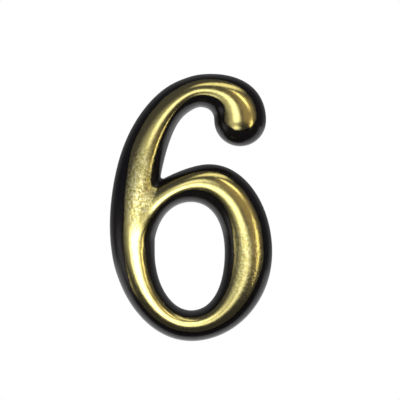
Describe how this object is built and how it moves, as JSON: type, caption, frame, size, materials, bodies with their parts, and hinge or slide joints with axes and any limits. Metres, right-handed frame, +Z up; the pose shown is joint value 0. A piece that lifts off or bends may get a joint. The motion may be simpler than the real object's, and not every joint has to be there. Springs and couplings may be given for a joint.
{
  "type": "door number",
  "caption": "Moulded plastic door numeral, the figure six, in gloss black with a brass-coloured crown: a domed stroke with a ball end and a hollow ribbed back that is stuck to a door.",
  "frame": {"origin": "lowest point of the numeral, on its back plane, halfway across the bowl", "axes": "+Z up the numeral, +X to the reader's right, +Y out of the back towards the door"},
  "size_m": [0.0304, 0.005, 0.05],
  "materials": {
    "numeral": "gloss black moulding, its crown hot-stamped with brass-coloured foil"
  },
  "bodies": {
    "root": {"numeral_six": "numeral"}
  },
  "joints": []
}
